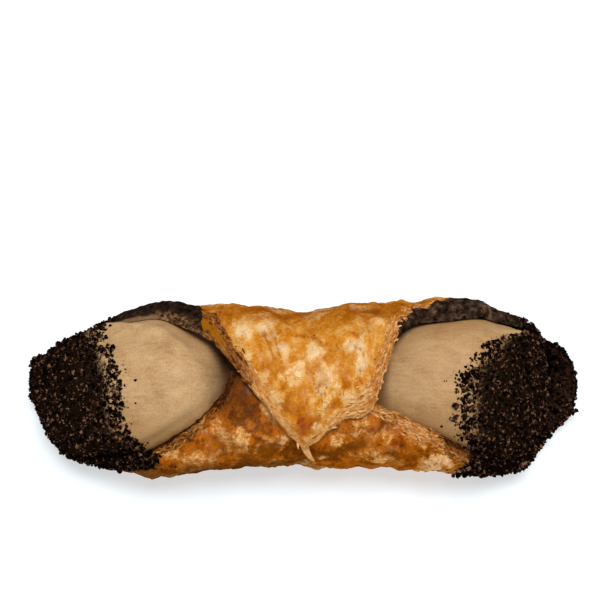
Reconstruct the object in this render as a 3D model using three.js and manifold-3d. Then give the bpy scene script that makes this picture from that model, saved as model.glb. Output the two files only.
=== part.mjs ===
// A filled cannoli: one square of laminated pastry, rolled cornerwise so that two of its corners lap over
// each other at the seam, round a filling of piped cream. The cream swells out of the two slanting mouths,
// and both ends have been dipped in chocolate cookie crumbs. Millimetres, +Z up.
//
// The roll is worked out in a frame of its own and then laid down: x runs along the roll, v across it
// towards the back and w out through the seam. Round the roll, phi is measured from the seam (w) towards
// the back (v), and the wrap angle alpha from the line opposite the seam, positive over the back and
// negative over the front.
import * as THREE from "three";
import { mergeVertices } from "three/addons/utils/BufferGeometryUtils.js";
import Module from "manifold-3d";

const { clamp, degToRad, lerp, smoothstep } = THREE.MathUtils;

// ---- Driving dimensions -----------------------------------------------------------------------------

const HALF_LENGTH = 72.3; // the roll from its middle to either end corner of the square
const PASTRY = 3.0; // thickness of the baked sheet
const CREAM_GAP = 0.5; // between the cream and the inside of the pastry
const LAP_GAP = 0.9; // between the two corners of the square where they lap
const SEAM_TURN = 35; // degrees that the seam is turned from straight up towards the front
const AXIS_HEIGHT = 21.4; // the roll's axis above the table, which leaves a small flat to rest on
const AXIS_FRONT = 0.64; // the roll's axis in front of the middle of the footprint
const SHEET_CELLS = 40; // grid cells along each side of the square
const CREAM_RINGS = 56;
const CREAM_SEGMENTS = 32;
const ARC_RADIUS = 19; // turns a wrap angle into a length along the sheet

// ---- Small tools ------------------------------------------------------------------------------------

// A smooth curve through [x, y] knots, level beyond both ends.
function curve(knots) {
  const slope = knots.map((_, i) => {
    const [x0, y0] = knots[Math.max(i - 1, 0)];
    const [x1, y1] = knots[Math.min(i + 1, knots.length - 1)];
    return (y1 - y0) / (x1 - x0);
  });
  return (x) => {
    const last = knots.length - 1;
    if (x <= knots[0][0]) return knots[0][1];
    if (x >= knots[last][0]) return knots[last][1];
    const i = knots.findIndex(([k]) => k > x) - 1;
    const [x0, y0] = knots[i];
    const [x1, y1] = knots[i + 1];
    const span = x1 - x0;
    const t = (x - x0) / span;
    const bend = t * (1 - t) * span * (slope[i] * (1 - t) - slope[i + 1] * t);
    return lerp(y0, y1, t * t * (3 - 2 * t)) + bend;
  };
}

// A repeatable random number from 0 to 1 for a lattice point.
function hash(i, j, k) {
  const n = Math.sin(i * 127.1 + j * 311.7 + k * 74.7) * 43758.5453;
  return n - Math.floor(n);
}

// Smooth noise from -1 to 1, one lump to the unit.
function noise(x, y, z) {
  const [i, j, k] = [Math.floor(x), Math.floor(y), Math.floor(z)];
  const ease = (t) => t * t * (3 - 2 * t);
  const [a, b, c] = [ease(x - i), ease(y - j), ease(z - k)];
  const row = (dj, dk) => lerp(hash(i, j + dj, k + dk), hash(i + 1, j + dj, k + dk), a);
  return 2 * lerp(lerp(row(0, 0), row(1, 0), b), lerp(row(0, 1), row(1, 1), b), c) - 1;
}

// ---- The roll's cross-section -----------------------------------------------------------------------

// Half-width of the cream inside the pastry, behind and in front of the axis, and its depth below the axis.
const backWidth = curve([
  [-70, 11.4], [-62, 11.3], [-56, 12.7], [-50, 15.2], [-43, 17.1], [-35, 18.7], [-27, 17.4], [-12, 17.3],
  [0, 15.8], [12, 17.7], [28, 18.3], [38, 19.3], [45, 18.7], [50, 16.6], [57, 14.8], [70, 13.4],
]);
const frontWidth = curve([
  [-70, 14.8], [-65, 15.3], [-58, 16.6], [-50, 17.8], [-40, 19], [-30, 18.1], [-15, 16.6], [0, 15.8],
  [5, 16.8], [25, 16.4], [35, 17.8], [50, 18.8], [57, 17.4], [60.5, 15.1], [63, 14.3], [70, 13.4],
]);
const depth = curve([
  [-70, 15.5], [-60, 17.2], [-42, 19], [-20, 17.6], [0, 16.6], [20, 17.4], [42, 19], [60, 17.4], [70, 15.5],
]);
// Height of the cream above the axis along the seam: it dips under the laps, and swells out of each mouth.
const creamTop = curve([
  [-70, -11], [-66, -3.5], [-60, 4.5], [-52, 11.5], [-46, 16], [-40, 18.7], [-33, 19.8], [-27, 19.2],
  [-23.5, 17.2], [-21, 13.4], [-18.5, 10.6], [-12, 11], [-4, 14.5], [12, 14.5], [20, 14.6], [26, 16.5],
  [34, 18.7], [41, 18.8], [48, 16.2], [54, 12], [59, 5.5], [62, -1.5], [64, -10],
]);
// Height of the inside of the pastry above the axis, which runs straight across the dip under the laps.
const wrapTop = (x) => Math.max(creamTop(x), 16.6 - 0.05 * Math.max(Math.abs(x) - 22, 0) ** 2);

function sectionPoint(x, phi, offset, top, bottom, middle = 0, narrow = 1) {
  const across = Math.sin(phi);
  const up = Math.cos(phi);
  const half = (across > 0 ? backWidth(x) : frontWidth(x)) * narrow + offset;
  const height = up > 0 ? top - middle + offset : bottom + middle + offset;
  return new THREE.Vector3(x, half * across, middle + height * up);
}

// ---- The square of pastry ---------------------------------------------------------------------------

// Along the roll: u runs from -1 to 1 between the end corners, which are blunt.
const END_BLUNT = 11;
const alongRoll = (u) => HALF_LENGTH * Math.sign(u) * (1.1 * Math.abs(u) - 0.1 * Math.abs(u) ** END_BLUNT);
function shareAlong(x) {
  let [low, high] = [0, 1];
  for (let i = 0; i < 30; i++) {
    const mid = (low + high) / 2;
    if (alongRoll(mid) < Math.abs(x)) low = mid;
    else high = mid;
  }
  return Math.sign(x) * low;
}

// Degrees of wrap for each unit of the sheet's half-width, by u from the left end to the right end.
const backWrap = curve([
  [-1, 1300], [-0.96, 640], [-0.9, 330], [-0.85, 230], [-0.79, 208], [-0.7, 200], [-0.6, 220], [-0.45, 203],
  [-0.3, 203], [-0.15, 211], [0, 223], [0.12, 226], [0.2, 240], [0.28, 208], [0.37, 196], [0.5, 235],
  [0.65, 282], [0.74, 280], [0.79, 242], [0.83, 262], [0.86, 290], [0.9, 318], [0.93, 350], [0.96, 330],
  [1, 500],
]);
const frontWrap = curve([
  [-1, 950], [-0.96, 340], [-0.9, 305], [-0.85, 345], [-0.75, 330], [-0.5, 257], [-0.35, 235], [-0.25, 236],
  [-0.2, 252], [-0.1, 238], [0, 226], [0.15, 216], [0.3, 228], [0.42, 250], [0.55, 275], [0.65, 298],
  [0.74, 334], [0.8, 302], [0.85, 294], [0.88, 325], [0.93, 440], [0.96, 600], [1, 800],
]);
// The cut edge slants: the outside of the sheet stops this many degrees short of the inside.
const backSlant = curve([
  [-0.9, 2], [-0.6, 8], [-0.42, 16], [-0.34, 28], [-0.28, 24], [-0.21, 7], [-0.17, 3], [0, 3], [0.3, 7],
  [0.6, 8], [0.85, 2],
]);
const frontSlant = curve([
  [-0.6, 3], [-0.2, 2], [0, 3], [0.25, 4], [0.4, 5], [0.52, 10], [0.7, 9], [0.85, 3],
]);
// Thickness of the cut edge: some of it was pressed thin when the roll was closed.
const backEdge = curve([[-0.6, 3], [-0.33, 3], [-0.2, 1.4], [0, 1.6], [0.12, 1.8], [0.3, 2.6], [0.4, 3]]);
const frontEdge = curve([[-0.8, 2.6], [-0.65, 1.4], [-0.3, 1], [0, 2], [0.25, 1.4], [0.45, 1.9], [0.6, 2.8]]);
const EDGE_TAPER = 8; // how far in from the cut edge the sheet has its whole thickness

// How thick the sheet is at a point of the square.
function thickness(p, q) {
  const edge = p + q > 1 ? backEdge(p - q) : frontEdge(p - q);
  const inward = Math.min(p, 1 - p, q, 1 - q) * HALF_LENGTH * Math.SQRT2;
  return lerp(edge, PASTRY, smoothstep(inward, 0, EDGE_TAPER));
}

function wrapAngle(u, t, outside) {
  const rim = 1 - Math.abs(u);
  const whole = t > 0 ? backWrap(u) : frontWrap(u);
  const slant = rim > 0 ? Math.min((t > 0 ? backSlant(u) : frontSlant(u)) / rim, 0.4 * whole) : 0;
  return degToRad(t * (whole - (outside ? slant : 0)));
}

// How far round the roll the inside of the pastry reaches at x, in radians.
function reach(x, side) {
  const u = shareAlong(x);
  return Math.abs(wrapAngle(u, side * (1 - Math.abs(u)), false));
}

// The back corner rides up over the front one at the seam.
function lapLift(x, alpha) {
  const along = 1 - smoothstep(Math.abs(x), 21, 37);
  return (PASTRY + LAP_GAP) * along * smoothstep(alpha, degToRad(92), degToRad(150));
}

// Blisters that the fat and steam raise in the dough: rounded lumps on a jittered lattice.
const BLISTER_PITCH = 7.2;
function blisters(x, s) {
  let height = 0;
  const [ci, cj] = [Math.floor(x / BLISTER_PITCH), Math.floor(s / BLISTER_PITCH)];
  for (let i = ci - 1; i <= ci + 1; i++) {
    for (let j = cj - 1; j <= cj + 1; j++) {
      const dx = x - (i + 0.2 + 0.6 * hash(i, j, 1)) * BLISTER_PITCH;
      const ds = s - (j + 0.2 + 0.6 * hash(i, j, 2)) * BLISTER_PITCH;
      const radius = 2.8 + 2.6 * hash(i, j, 3);
      const d = Math.hypot(dx, ds) / radius;
      if (d < 1) height = Math.max(height, (0.1 + 0.75 * hash(i, j, 4)) * (1 - d * d) ** 2);
    }
  }
  return height;
}

// Crease where the back corner has been pulled down: from the waist at the back to the right of the laps.
function crease(x, alpha) {
  const line = degToRad(94 + 1.55 * x);
  const away = ((alpha - line) * ARC_RADIUS) / 1.9;
  return 0.9 * Math.exp(-away * away) * smoothstep(x, -3, 3) * (1 - smoothstep(x, 19, 23));
}

// Where the crumbs begin, as x by v: the ends were dipped at a slant.
const leftDip = curve([
  [-22, -53], [-20.8, -47], [-19.5, -38], [-16, -37], [-13.5, -39], [-11, -42.5], [-5, -44], [3, -45],
  [9, -47], [13.5, -50], [20, -53],
]);
const rightDip = curve([
  [-22, 39], [-18.5, 40.5], [-14.8, 40.8], [-10, 38.6], [2.5, 38.4], [7.4, 40.8], [10, 44], [12.7, 47],
  [13.8, 51.5], [14.4, 57], [20, 60],
]);
const UNDER_DIP = 50; // the same on the underside
function crumbed(p) {
  const under = smoothstep(-p.z, 2, 9);
  const edge = p.x < 0 ? -lerp(leftDip(p.y), -UNDER_DIP, under) : lerp(rightDip(p.y), UNDER_DIP, under);
  return smoothstep(Math.abs(p.x) - edge, -0.5, 1.5);
}

const CRUMB_COAT = 0.5; // the layer of fine crumbs
function crumbRelief(p) {
  return crumbed(p) * (CRUMB_COAT + 0.45 * noise(p.x / 1.7, p.y / 1.7, p.z / 1.7));
}

// A point on the pastry: p and q run from 0 to 1 along two sides of the square.
function sheetPoint(p, q, outside) {
  const u = p - q;
  const t = p + q - 1;
  const x = alongRoll(u);
  const alpha = wrapAngle(u, t, outside);
  const s = alpha * ARC_RADIUS;
  const offset = CREAM_GAP + lapLift(x, alpha);
  const place = (h) => sectionPoint(x, Math.PI - alpha, h, wrapTop(x), depth(x));
  if (!outside) return place(offset);
  const lapped = smoothstep(-alpha, degToRad(165), degToRad(185)) * (1 - smoothstep(Math.abs(x), 14, 20));
  const skin = offset + thickness(p, q);
  const bare = place(skin);
  const relief = blisters(x, s) + 0.35 * noise(x / 13, s / 13, 5) - crease(x, alpha);
  const crumbs = crumbed(bare);
  const height = lerp(relief * (1 - 0.85 * lapped), 0.15 * relief, crumbs) + crumbRelief(bare);
  return place(skin + height);
}

// The cut edge shows the layers of the dough: rounded out above and below a groove.
const EDGE_ROWS = [[0.18, 0.75], [0.5, 0.1], [0.82, 0.65]];

function sheetGeometry(n) {
  const points = [];
  const add = (v) => points.push(v) - 1;
  const grid = [true, false].map((outside) =>
    Array.from({ length: n + 1 }, (_, i) =>
      Array.from({ length: n + 1 }, (_, j) => add(sheetPoint(i / n, j / n, outside))),
    ),
  );
  const [outer, inner] = grid;
  const faces = [];
  const quad = (a, b, c, d) => faces.push(a, b, c, a, c, d);
  for (let i = 0; i < n; i++) {
    for (let j = 0; j < n; j++) {
      quad(outer[i][j], outer[i][j + 1], outer[i + 1][j + 1], outer[i + 1][j]);
      quad(inner[i][j], inner[i + 1][j], inner[i + 1][j + 1], inner[i][j + 1]);
    }
  }
  // Round the rim of the square, once, with the grid cell just inside each rim point.
  const rim = [];
  for (let k = 0; k < n; k++) rim.push([k, 0]);
  for (let k = 0; k < n; k++) rim.push([n, k]);
  for (let k = 0; k < n; k++) rim.push([n - k, n]);
  for (let k = 0; k < n; k++) rim.push([0, n - k]);
  const strands = rim.map(([i, j]) => {
    const [top, under] = [points[outer[i][j]], points[inner[i][j]]];
    const inside = points[inner[clamp(i, 1, n - 1)][clamp(j, 1, n - 1)]];
    const outward = under.clone().sub(inside).normalize();
    const ragged = 1 + 0.6 * noise(under.x / 3, under.y / 3, under.z / 3);
    const rows = EDGE_ROWS.map(([share, push]) =>
      add(top.clone().lerp(under, share).addScaledVector(outward, push * ragged)),
    );
    return [outer[i][j], ...rows, inner[i][j]];
  });
  strands.forEach((strand, k) => {
    const next = strands[(k + 1) % strands.length];
    for (let m = 0; m + 1 < strand.length; m++) quad(strand[m], next[m], next[m + 1], strand[m + 1]);
  });
  return closedGeometry(points, faces);
}

// ---- The cream --------------------------------------------------------------------------------------

const CREAM_ENDS = [-70, 64];
const CREAM_CAP = 50; // beyond this the cream rounds off towards its ends
const CAP_BLUNT = 3;
const MOUTH_SWELL = [1.7, 0.5]; // how far the cream stands out of the left and right mouths

function creamPoint(x, phi) {
  const side = x < 0 ? 0 : 1;
  const end = Math.abs(CREAM_ENDS[side]);
  const past = clamp((Math.abs(x) - CREAM_CAP) / (end - CREAM_CAP), 0, 1);
  const cap = Math.sqrt(1 - past ** CAP_BLUNT);
  const tip = creamTop(CREAM_ENDS[side]);
  const turn = Math.atan2(Math.sin(phi), Math.cos(phi));
  const backRoom = Math.PI - reach(x, 1) - turn;
  const frontRoom = turn + Math.PI - reach(x, -1);
  const mouth = smoothstep(Math.min(backRoom, frontRoom), degToRad(7), degToRad(20));
  const swell = MOUTH_SWELL[side] * mouth * smoothstep(Math.abs(x), 22, 30) * cap;
  const bottom = -lerp(tip, -depth(x), cap);
  const place = (h) => sectionPoint(x, phi, h, creamTop(x), bottom, tip * (1 - cap), cap);
  const bare = place(swell);
  const streaks = 0.18 * mouth * noise(x / 11, phi * 3, 9);
  return place(swell + streaks + cap * mouth * crumbRelief(bare));
}

function creamGeometry(rings, segments) {
  const points = [];
  const add = (v) => points.push(v) - 1;
  const faces = [];
  const [left, right] = CREAM_ENDS;
  const middle = (left + right) / 2;
  const half = (right - left) / 2;
  // Rings crowd towards the rounded ends.
  const stations = Array.from({ length: rings - 1 }, (_, i) => {
    const share = (2 * (i + 1)) / rings - 1;
    return middle + half * lerp(share, Math.sin((share * Math.PI) / 2), 0.55);
  });
  const loops = stations.map((x) =>
    Array.from({ length: segments }, (_, k) => add(creamPoint(x, (2 * Math.PI * k) / segments))),
  );
  const poles = CREAM_ENDS.map((x) => add(new THREE.Vector3(x, 0, creamTop(x))));
  for (let k = 0; k < segments; k++) {
    const m = (k + 1) % segments;
    faces.push(poles[0], loops[0][k], loops[0][m]);
    faces.push(poles[1], loops.at(-1)[m], loops.at(-1)[k]);
    for (let i = 0; i + 1 < loops.length; i++) {
      const [a, b] = [loops[i], loops[i + 1]];
      faces.push(a[k], b[k], b[m], a[k], b[m], a[m]);
    }
  }
  return closedGeometry(points, faces);
}

// ---- Laying the roll down ---------------------------------------------------------------------------

function closedGeometry(points, faces) {
  const flat = new Float32Array(points.flatMap((p) => [p.x, p.y, p.z]));
  const position = new THREE.BufferAttribute(flat, 3);
  return new THREE.BufferGeometry().setAttribute("position", position).setIndex(faces);
}

// From the roll's frame to the table: x stays, v tilts back and w forwards by the seam's turn.
const TURN = degToRad(SEAM_TURN);
function layDown(p) {
  return new THREE.Vector3(
    p.x,
    p.y * Math.cos(TURN) - p.z * Math.sin(TURN) - AXIS_FRONT,
    p.y * Math.sin(TURN) + p.z * Math.cos(TURN) + AXIS_HEIGHT,
  );
}

// Lays a geometry down and presses what would sink into the table flat against it.
function restOnTable(geometry) {
  const position = geometry.getAttribute("position");
  const p = new THREE.Vector3();
  for (let i = 0; i < position.count; i++) {
    const laid = layDown(p.fromBufferAttribute(position, i));
    position.setXYZ(i, laid.x, laid.y, Math.max(laid.z, 0));
  }
  return geometry;
}

// ---- The coarse crumbs, fused to what they stick to -------------------------------------------------

const wasm = await Module();
wasm.setup();
const MERGE_DISTANCE = 1e-4;

function solidOf(geometry) {
  const bare = new THREE.BufferGeometry().setAttribute("position", geometry.getAttribute("position"));
  const merged = mergeVertices(bare.setIndex(geometry.index), MERGE_DISTANCE);
  return new wasm.Manifold(
    new wasm.Mesh({
      numProp: 3,
      vertProperties: merged.attributes.position.array,
      triVerts: new Uint32Array(merged.index.array),
    }),
  );
}

function geometryOf(solid) {
  const { numProp, vertProperties, triVerts } = solid.getMesh();
  const flat = new Float32Array((vertProperties.length / numProp) * 3);
  for (let i = 0; i * 3 < flat.length; i++) {
    flat.set(vertProperties.subarray(i * numProp, i * numProp + 3), i * 3);
  }
  return new THREE.BufferGeometry()
    .setAttribute("position", new THREE.BufferAttribute(flat, 3))
    .setIndex(new THREE.BufferAttribute(triVerts, 1));
}

// One crumb: a broken block of cookie at any angle, half sunk in the surface at a point.
const CRUMB = 1.9;
function crumbGeometry(at, n) {
  const size = CRUMB * (0.8 + 0.5 * hash(n, 3, 7));
  const block = new THREE.BoxGeometry(size, size * 0.9, size * 0.8);
  const position = block.getAttribute("position");
  const p = new THREE.Vector3();
  for (let i = 0; i < position.count; i++) {
    p.fromBufferAttribute(position, i);
    const corner = 9 + (p.x > 0 ? 1 : 0) + (p.y > 0 ? 2 : 0) + (p.z > 0 ? 4 : 0);
    p.multiplyScalar(0.65 + 0.5 * hash(n, corner, 7));
    position.setXYZ(i, p.x, p.y, p.z);
  }
  return block.rotateX(6 * hash(n, 1, 7)).rotateZ(6 * hash(n, 2, 7)).translate(at.x, at.y, at.z);
}

function withCrumbs(geometry, places) {
  const lowest = CRUMB * 0.9;
  const kept = places.map(layDown).filter((p) => p.z > lowest);
  const crumbs = kept.map((p, n) => solidOf(crumbGeometry(p, n)));
  return geometryOf(wasm.Manifold.union([solidOf(geometry), ...crumbs]));
}

// Crumb places on the cream: evenly round each dome, clear of the pastry's rim.
const CREAM_CRUMBS = 60;
function creamCrumbPlaces() {
  const places = [];
  for (let n = 0; n < 12 * CREAM_CRUMBS && places.length < CREAM_CRUMBS; n++) {
    const side = n % 2 ? 1 : -1;
    const x = side * lerp(40, 65, hash(n, 5, 1));
    const phi = lerp(-1.6, 1.6, hash(n, 6, 1));
    const at = creamPoint(x, phi);
    const room = Math.min(Math.PI - reach(x, 1) - phi, phi + Math.PI - reach(x, -1));
    const clear = places.every((other) => other.distanceTo(at) > 3);
    if (room > 0.4 && clear && crumbed(at) > 0.9) places.push(at);
  }
  return places;
}

// Crumb places on the pastry: a lattice over the dipped ends, clear of the cut edge.
const PASTRY_CRUMBS = 42;
const RIM_CLEAR = 0.055; // in shares of the square's side
function pastryCrumbPlaces() {
  const places = [];
  for (let n = 0; n < 12 * PASTRY_CRUMBS && places.length < PASTRY_CRUMBS; n++) {
    const [p, q] = [hash(n, 8, 2), hash(n, 9, 2)];
    if (Math.min(p, 1 - p, q, 1 - q) < RIM_CLEAR) continue;
    const at = sheetPoint(p, q, true);
    const clear = places.every((other) => other.distanceTo(at) > 4);
    if (clear && crumbed(at) > 0.9) places.push(at);
  }
  return places;
}

// ---- The part ---------------------------------------------------------------------------------------

const cannoli = new THREE.Group();

const pastry = new THREE.Mesh(
  withCrumbs(restOnTable(sheetGeometry(SHEET_CELLS)), pastryCrumbPlaces()),
  new THREE.MeshStandardMaterial({ color: 0xc98a3e, roughness: 0.45, metalness: 0 }),
);
pastry.name = "pastry";

const cream = new THREE.Mesh(
  withCrumbs(restOnTable(creamGeometry(CREAM_RINGS, CREAM_SEGMENTS)), creamCrumbPlaces()),
  new THREE.MeshStandardMaterial({ color: 0xc79e70, roughness: 0.6, metalness: 0 }),
);
cream.name = "cream";

cannoli.add(pastry, cream);

export default cannoli;
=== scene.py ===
import math

import bpy
import numpy as np
from mathutils import Matrix, Vector
from mathutils.bvhtree import BVHTree


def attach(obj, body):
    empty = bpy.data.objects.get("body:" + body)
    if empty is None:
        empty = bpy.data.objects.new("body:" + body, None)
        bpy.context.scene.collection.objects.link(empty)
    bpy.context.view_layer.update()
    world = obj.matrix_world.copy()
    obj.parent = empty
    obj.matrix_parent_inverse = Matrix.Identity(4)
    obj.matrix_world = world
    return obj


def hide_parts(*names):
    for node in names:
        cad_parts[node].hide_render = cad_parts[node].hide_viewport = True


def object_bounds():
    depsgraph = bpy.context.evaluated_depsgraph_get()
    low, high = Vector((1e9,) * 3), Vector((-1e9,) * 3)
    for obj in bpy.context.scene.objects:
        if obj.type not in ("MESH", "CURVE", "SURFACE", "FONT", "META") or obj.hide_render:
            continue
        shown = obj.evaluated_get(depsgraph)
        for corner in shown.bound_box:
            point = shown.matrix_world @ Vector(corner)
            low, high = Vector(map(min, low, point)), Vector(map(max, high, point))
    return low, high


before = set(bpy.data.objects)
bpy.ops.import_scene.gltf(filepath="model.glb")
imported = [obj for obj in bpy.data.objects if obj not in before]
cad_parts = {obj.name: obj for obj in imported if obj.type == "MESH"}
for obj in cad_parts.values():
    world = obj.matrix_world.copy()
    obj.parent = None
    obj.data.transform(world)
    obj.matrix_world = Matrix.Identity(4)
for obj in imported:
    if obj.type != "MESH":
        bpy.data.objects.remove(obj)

cad_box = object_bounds()
MM = 0.001


# ---- Pastry: the baked sheet --------------------------------------------------------------------
# One square of laminated puff dough, rolled cornerwise round a metal tube and baked, so that its back
# corner laps over the front one at the seam. It is brushed with a glaze that bakes amber in the
# hollows, while flakes and blisters stand up pale.

HALF_LENGTH = 72.3  # the roll from its middle to either end corner, in millimetres as all here
SHEET = 3.0  # thickness
SIDE = HALF_LENGTH * math.sqrt(2)
CREAM_GAP = 0.5
LAP_GAP = 0.9
ARC_RADIUS = 19  # turns an angle round the roll into a length
SEAM_TURN = 35  # degrees that the seam is turned from straight up towards the front
AXIS_HEIGHT = 21.4
AXIS_FRONT = 0.64
SHEET_CELLS = 196
EDGE_LEAVES = 12  # rows of faces across the cut edge
LAYERS = 4.5  # leaves of dough that show in it
SKIN = 0.02  # kept clear of the box round the whole part


def smooth(v, low, high):
    t = np.clip((v - low) / (high - low), 0, 1)
    return t * t * (3 - 2 * t)


def mixed(a, b, share):
    return a + (b - a) * share


def curve(*knots):
    """A smooth curve through (x, y) knots, level beyond both ends."""
    x, y = np.array(knots, dtype=float).T
    before, after = np.maximum(np.arange(len(x)) - 1, 0), np.minimum(np.arange(len(x)) + 1, len(x) - 1)
    slope = (y[after] - y[before]) / (x[after] - x[before])

    def at(v):
        v = np.clip(v, x[0], x[-1])
        i = np.clip(np.searchsorted(x, v, side="right") - 1, 0, len(x) - 2)
        span = x[i + 1] - x[i]
        t = (v - x[i]) / span
        bend = t * (1 - t) * span * (slope[i] * (1 - t) - slope[i + 1] * t)
        return mixed(y[i], y[i + 1], t * t * (3 - 2 * t)) + bend

    return at


def scatter(i, j, k):
    """A repeatable random number from 0 to 1 for each lattice point."""
    n = np.sin(i * 127.1 + j * 311.7 + k * 74.7) * 43758.5453
    return n - np.floor(n)


def lumps(x, y, z):
    """Smooth noise from -1 to 1, one lump to the unit."""
    z = np.broadcast_to(np.asarray(z, dtype=float), np.shape(x))
    i, j, k = np.floor(x), np.floor(y), np.floor(z)
    a, b, c = smooth(x - i, 0, 1), smooth(y - j, 0, 1), smooth(z - k, 0, 1)

    def row(dj, dk):
        return mixed(scatter(i, j + dj, k + dk), scatter(i + 1, j + dj, k + dk), a)

    return 2 * mixed(mixed(row(0, 0), row(1, 0), b), mixed(row(0, 1), row(1, 1), b), c) - 1


# The roll's section: half-widths behind and in front of the axis, depth below it, and heights above.
back_width = curve(
    (-70, 11.4), (-62, 11.3), (-56, 12.7), (-50, 15.2), (-43, 17.1), (-35, 18.7), (-27, 17.4), (-12, 17.3),
    (0, 15.8), (12, 17.7), (28, 18.3), (38, 19.3), (45, 18.7), (50, 16.6), (57, 14.8), (70, 13.4))
front_width = curve(
    (-70, 14.8), (-65, 15.3), (-58, 16.6), (-50, 17.8), (-40, 19), (-30, 18.1), (-15, 16.6), (0, 15.8),
    (5, 16.8), (25, 16.4), (35, 17.8), (50, 18.8), (57, 17.4), (60.5, 15.1), (63, 14.3), (70, 13.4))
depth = curve(
    (-70, 15.5), (-60, 17.2), (-42, 19), (-20, 17.6), (0, 16.6), (20, 17.4), (42, 19), (60, 17.4), (70, 15.5))
cream_top = curve(
    (-70, -11), (-66, -3.5), (-60, 4.5), (-52, 11.5), (-46, 16), (-40, 18.7), (-33, 19.8), (-27, 19.2),
    (-23.5, 17.2), (-21, 13.4), (-18.5, 10.6), (-12, 11), (-4, 14.5), (12, 14.5), (20, 14.6), (26, 16.5),
    (34, 18.7), (41, 18.8), (48, 16.2), (54, 12), (59, 5.5), (62, -1.5), (64, -10))
LAPS_TOP, LAPS_HALF = 16.6, 22  # how high the corners lap above the axis, and how far to either side


def wrap_top(x):
    """The height that the sheet arches to: over the cream, and level where its corners lap."""
    return np.maximum(cream_top(x), LAPS_TOP - 0.05 * np.maximum(np.abs(x) - LAPS_HALF, 0) ** 2)


def section(x, phi, offset, top, bottom, middle=0.0, narrow=1.0):
    """A point on the roll's section at x: phi is 0 at the top and grows towards the back."""
    across, up = np.sin(phi), np.cos(phi)
    half = np.where(across > 0, back_width(x), front_width(x)) * narrow + offset
    height = np.where(up > 0, top - middle, bottom + middle) + offset
    return np.stack([x + 0 * phi, half * across, middle + height * up], axis=-1)


def along_roll(u):
    """Where a line across the square lies along the roll: u is -1 and 1 at the end corners."""
    return HALF_LENGTH * np.sign(u) * (1.1 * np.abs(u) - 0.1 * np.abs(u) ** 11)


def share_along(x):
    """The other way: u from x."""
    steps = np.linspace(0, 1, 4001)
    return np.sign(x) * np.interp(np.abs(x), along_roll(steps), steps)


# How far the sheet wraps round, in degrees for each unit of its half-width, behind and in front.
back_wrap = curve(
    (-1, 1300), (-0.96, 640), (-0.9, 330), (-0.85, 230), (-0.79, 208), (-0.7, 200), (-0.6, 220),
    (-0.45, 203), (-0.3, 203), (-0.15, 211), (0, 223), (0.12, 226), (0.2, 240), (0.28, 208), (0.37, 196),
    (0.5, 235), (0.65, 282), (0.74, 280), (0.79, 242), (0.83, 262), (0.86, 290), (0.9, 318), (0.93, 350),
    (0.96, 330), (1, 500))
front_wrap = curve(
    (-1, 950), (-0.96, 340), (-0.9, 305), (-0.85, 345), (-0.75, 330), (-0.5, 257), (-0.35, 235),
    (-0.25, 236), (-0.2, 252), (-0.1, 238), (0, 226), (0.15, 216), (0.3, 228), (0.42, 250), (0.55, 275),
    (0.65, 298), (0.74, 334), (0.8, 302), (0.85, 294), (0.88, 325), (0.93, 440), (0.96, 600), (1, 800))
back_slant = curve(
    (-0.9, 2), (-0.6, 8), (-0.42, 16), (-0.34, 28), (-0.28, 24), (-0.21, 7), (-0.17, 3), (0, 3), (0.3, 7),
    (0.6, 8), (0.85, 2))
front_slant = curve((-0.6, 3), (-0.2, 2), (0, 3), (0.25, 4), (0.4, 5), (0.52, 10), (0.7, 9), (0.85, 3))
# Thickness of the cut edge: some of it was pressed thin when the roll was closed.
back_edge = curve((-0.6, 3), (-0.33, 3), (-0.2, 1.4), (0, 1.6), (0.12, 1.8), (0.3, 2.6), (0.4, 3))
front_edge = curve((-0.8, 2.6), (-0.65, 1.4), (-0.3, 1), (0, 2), (0.25, 1.4), (0.45, 1.9), (0.6, 2.8))
EDGE_TAPER = 8  # over this width the cut edge thickens to the full sheet


def thickness(p, q):
    """The sheet's thickness, where p and q run from 0 to 1 along two sides of the square."""
    u, inward = p - q, SIDE * np.minimum(np.minimum(p, 1 - p), np.minimum(q, 1 - q))
    edge = np.where(p + q > 1, back_edge(u), front_edge(u))
    return mixed(edge, SHEET, smooth(inward, 0, EDGE_TAPER))


def wrap_angle(u, t, outside):
    """The angle from straight down, above 0 at the back. The cut slants, so the outer face ends sooner."""
    rim = np.maximum(1 - np.abs(u), 1e-9)
    whole = np.where(t > 0, back_wrap(u), front_wrap(u))
    slant = np.minimum(np.where(t > 0, back_slant(u), front_slant(u)) / rim, 0.4 * whole)
    return np.radians(t * (whole - (slant if outside else 0)))


def reach(x, side):
    """How far the sheet wraps round at x, to its rim at the back for side 1 or in front for side -1."""
    u = share_along(x)
    return np.abs(wrap_angle(u, side * (1 - np.abs(u)), False))


def lap_lift(x, alpha):
    """The back corner is lifted over the front one."""
    along = 1 - smooth(np.abs(x), 21, 37)
    return (SHEET + LAP_GAP) * along * smooth(alpha, math.radians(92), math.radians(150))


BLISTER_PITCH = 7.2


def blisters(x, s):
    """Round blisters of many sizes, where s is the way round the roll: their height."""
    height = np.zeros_like(x)
    for di in (-1, 0, 1):
        for dj in (-1, 0, 1):
            i, j = np.floor(x / BLISTER_PITCH) + di, np.floor(s / BLISTER_PITCH) + dj
            dx = x - (i + 0.2 + 0.6 * scatter(i, j, 1)) * BLISTER_PITCH
            ds = s - (j + 0.2 + 0.6 * scatter(i, j, 2)) * BLISTER_PITCH
            d = np.minimum(np.hypot(dx, ds) / (2.8 + 2.6 * scatter(i, j, 3)), 1)
            height = np.maximum(height, (0.1 + 0.75 * scatter(i, j, 4)) * (1 - d * d) ** 2)
    return height


CREASE_DEPTH, CREASE_HALF = 0.9, 1.9


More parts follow.
